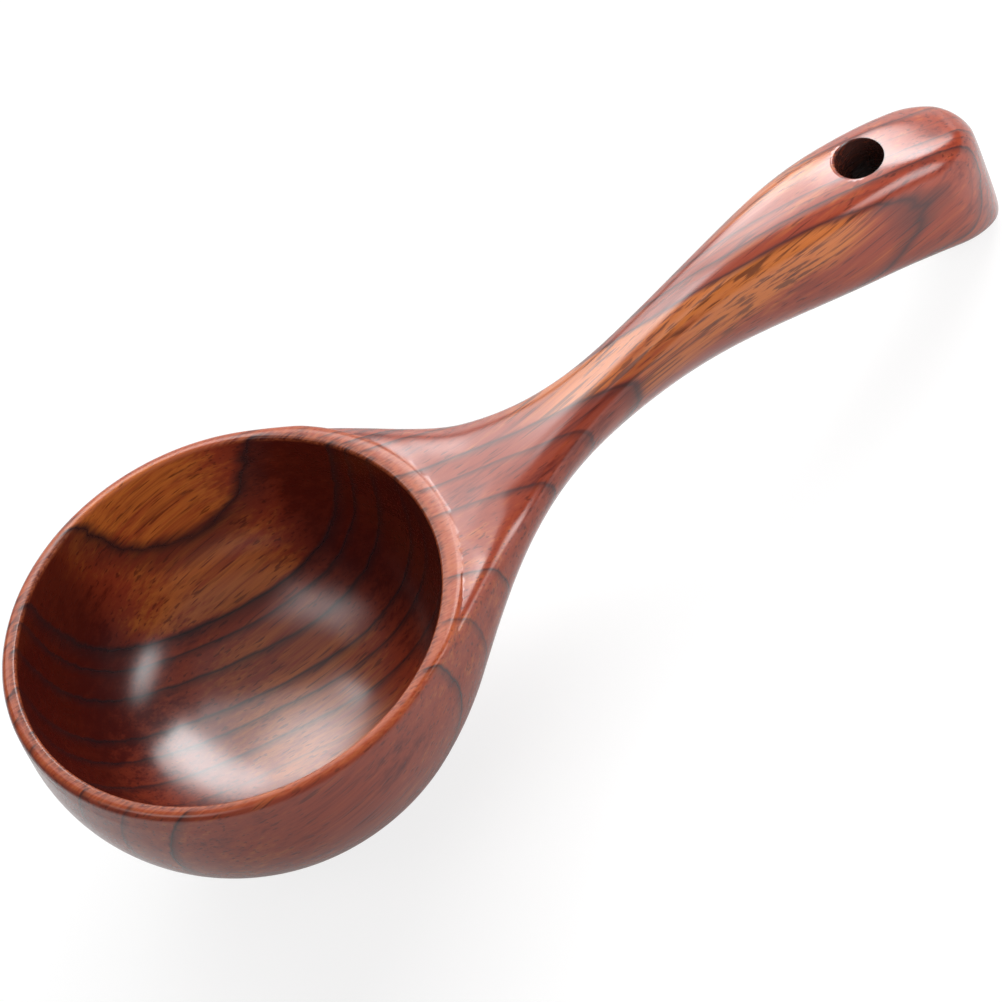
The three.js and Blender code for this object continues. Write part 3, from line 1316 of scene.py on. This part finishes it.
@dataclass(frozen=True)
class Softbox:
    """A soft studio light, by its way from where it aims, in degrees and metres."""

    name: str
    azimuth: float
    elevation: float
    distance: float
    width: float
    height: float
    brightness: float
    role: Role = Role.LAMP
    spread: float = OPEN_SPREAD
    aim: Triple = (0.0, 0.0, 0.0)

    def place(self) -> None:
        """Sets the light up, facing what it aims at."""
        light = bpy.data.lights.new(self.name, "AREA")
        light.shape = "RECTANGLE"
        light.size = self.width
        light.size_y = self.height
        light.energy = self.brightness * math.pi * self.width * self.height
        if self.spread < OPEN_SPREAD:
            half = math.radians(self.spread) / 2.0
            light.energy *= 1.0 - half / math.tan(half)
            light.spread = 2.0 * half
        turn, tilt = math.radians(self.azimuth), math.radians(self.elevation)
        flat = math.cos(tilt)
        way = Vector((math.cos(turn) * flat, math.sin(turn) * flat, math.sin(tilt)))
        lamp = show(self.name, light)
        lamp.visible_glossy = self.role is not Role.FILL
        lamp.visible_diffuse = self.role is not Role.CARD
        lamp.visible_camera = False
        lamp.location = Vector(self.aim) + way * self.distance
        lamp.rotation_euler = (-way).to_track_quat("-Z", "Y").to_euler()


@dataclass(frozen=True)
class PhotoCamera:
    """The photograph's camera, in the frame of the part, in metres."""

    eye: Triple = (0.12729, -0.76763, 0.95049)
    way: Triple = (-0.11020, 0.63354, -0.76582)
    roll: float = -47.2277
    lens: float = 262.735
    sensor: float = 36.0
    furthest: float = 50.0

    def place(self) -> None:
        """Sets the camera up and makes it the scene's own."""
        data = bpy.data.cameras.new("photo_camera")
        data.lens = self.lens
        data.sensor_width = self.sensor
        data.sensor_fit = "HORIZONTAL"
        data.clip_end = self.furthest
        camera = show("photo_camera", data)
        aim = Vector(self.way).to_track_quat("-Z", "Y")
        spin = Quaternion((0.0, 0.0, 1.0), math.radians(self.roll))
        camera.rotation_mode = "QUATERNION"
        camera.rotation_quaternion = aim @ spin
        camera.location = self.eye
        bpy.context.scene.camera = camera


@dataclass(frozen=True)
class Studio:
    """Pale floor, white surroundings, soft lights and the camera.

    What is seen is what the camera sees itself, and what is mirrored is what it sees in the
    lacquer.
    """

    floor_size: float = 1.7
    floor_level: float = -0.0002
    floor_grey: float = 0.36
    floor_seen: float = 0.95
    floor_mirrored: float = 0.62
    seen_white: float = 0.78
    mirrored_white: float = 0.05
    world_grey: float = 0.05
    mirrored_world: float = 0.20
    camera: PhotoCamera = PhotoCamera()
    lights: tuple[Softbox, ...] = (
        Softbox("softbox_behind", 38.0, 37.5, 1.2, 0.95, 0.50, 7.4),
        Softbox("softbox_side", 92.0, 37.0, 1.2, 0.80, 0.45, 3.6),
        Softbox("softbox_over", 58.0, 60.0, 1.2, 1.20, 0.40, 2.4),
        Softbox("softbox_low", 66.0, 9.0, 1.3, 2.00, 0.44, 1.65),
        Softbox("softbox_left", -160.0, 60.0, 1.2, 0.52, 0.26, 1.1),
        Softbox("softbox_left_wide", -160.0, 60.0, 1.25, 0.80, 0.46, 0.9),
        Softbox("softbox_left_edge", -160.0, 60.0, 1.3, 1.10, 0.70, 0.5),
        Softbox("softbox_top", 0.0, 80.0, 1.3, 1.40, 1.20, 0.26),
        Softbox("fill_right", -34.0, 23.5, 0.203, 0.13, 0.08, 6.1, Role.FILL),
        Softbox("fill_front", -92.0, 24.0, 1.4, 1.40, 0.80, 2.4, Role.FILL),
        Softbox("fill_behind", 72.0, 37.5, 1.2, 0.33, 0.50, 7.4, Role.FILL),
        Softbox("shine_behind", 38.0, 42.0, 1.2, 0.92, 0.32, 5.0, Role.CARD),
        Softbox(
            "shine_grip", 84.0, 42.0, 0.17, 0.11, 0.11, 7.6, Role.CARD,
            spread=36.0, aim=(0.06, 0.0, 0.035),
        ),
        Softbox(
            "shine_neck", 116.0, 53.0, 0.20, 0.08, 0.09, 8.5, Role.CARD,
            spread=36.0, aim=(0.020, 0.0, 0.034),
        ),
        Softbox(
            "card_floor", 73.0, 48.0, 0.10, 0.046, 0.045, 9.0, Role.CARD,
            spread=28.0, aim=(-0.062, -0.001, 0.007),
        ),
        Softbox(
            "card_bowl", -29.0, 15.0, 0.10, 0.05, 0.035, 8.0, Role.CARD,
            spread=36.0, aim=(-0.074, 0.024, 0.0195),
        ),
        Softbox(
            "card_end", -58.0, 25.0, 0.13, 0.09, 0.07, 7.0, Role.CARD,
            spread=60.0, aim=(0.082, -0.007, 0.0285),
        ),
        Softbox(
            "card_ridge", 92.0, 74.0, 0.12, 0.05, 0.04, 6.0, Role.CARD,
            spread=20.0, aim=(0.008, -0.0045, 0.032),
        ),
    )

    def build(self) -> None:
        """Sets the studio up."""
        self._floor()
        self._surroundings()
        for light in self.lights:
            light.place()
        self.camera.place()
        bpy.context.scene.view_settings.view_transform = "Standard"

    def _floor(self) -> None:
        """Lays the floor, which keeps the ladle's shadow."""
        work = bmesh.new()
        bmesh.ops.create_grid(work, x_segments=1, y_segments=1, size=self.floor_size / 2.0)
        bmesh.ops.translate(work, vec=(0.0, 0.0, self.floor_level), verts=work.verts)
        floor = show_mesh("floor", work)
        material = bpy.data.materials.new("pale_floor")
        sheet = FinishSheet(material)
        seen, mirrored = sheet.rays()
        shade = sheet.tint(mirrored, (self.floor_grey,) * 3, (self.floor_mirrored,) * 3)
        shade = sheet.tint(seen, shade, (self.floor_seen,) * 3)
        white = (seen * self.seen_white).most(mirrored * self.mirrored_white)
        matt = sheet.add("ShaderNodeBsdfDiffuse", {"Color": shade}).outputs["BSDF"]
        glow = sheet.add("ShaderNodeEmission", {}).outputs["Emission"]
        both = sheet.add("ShaderNodeMixShader", {0: white, 1: matt, 2: glow})
        sheet.add("ShaderNodeOutputMaterial", {"Surface": both.outputs["Shader"]})
        floor.data.materials.append(material)

    def _surroundings(self) -> None:
        """Makes the surroundings white to look at and dim as a light."""
        world = bpy.data.worlds.new("studio")
        bpy.context.scene.world = world
        sheet = FinishSheet(world)
        seen, mirrored = sheet.rays()
        level = (mirrored * self.mirrored_world).most(self.world_grey).most(seen)
        white = {"Color": (1.0, 1.0, 1.0, 1.0), "Strength": level}
        glow = sheet.add("ShaderNodeBackground", white)
        sheet.add("ShaderNodeOutputWorld", {"Surface": glow.outputs["Background"]})


def main() -> None:
    """Builds the ladle and the studio around it."""
    logging.basicConfig(level=logging.INFO, format="%(name)s: %(message)s")
    piece = Ladle().build()
    LOG.info("%s: %d faces", piece.name, len(piece.data.polygons))
    Studio().build()
    LOG.info("studio is up")


if __name__ == "__main__":
    main()
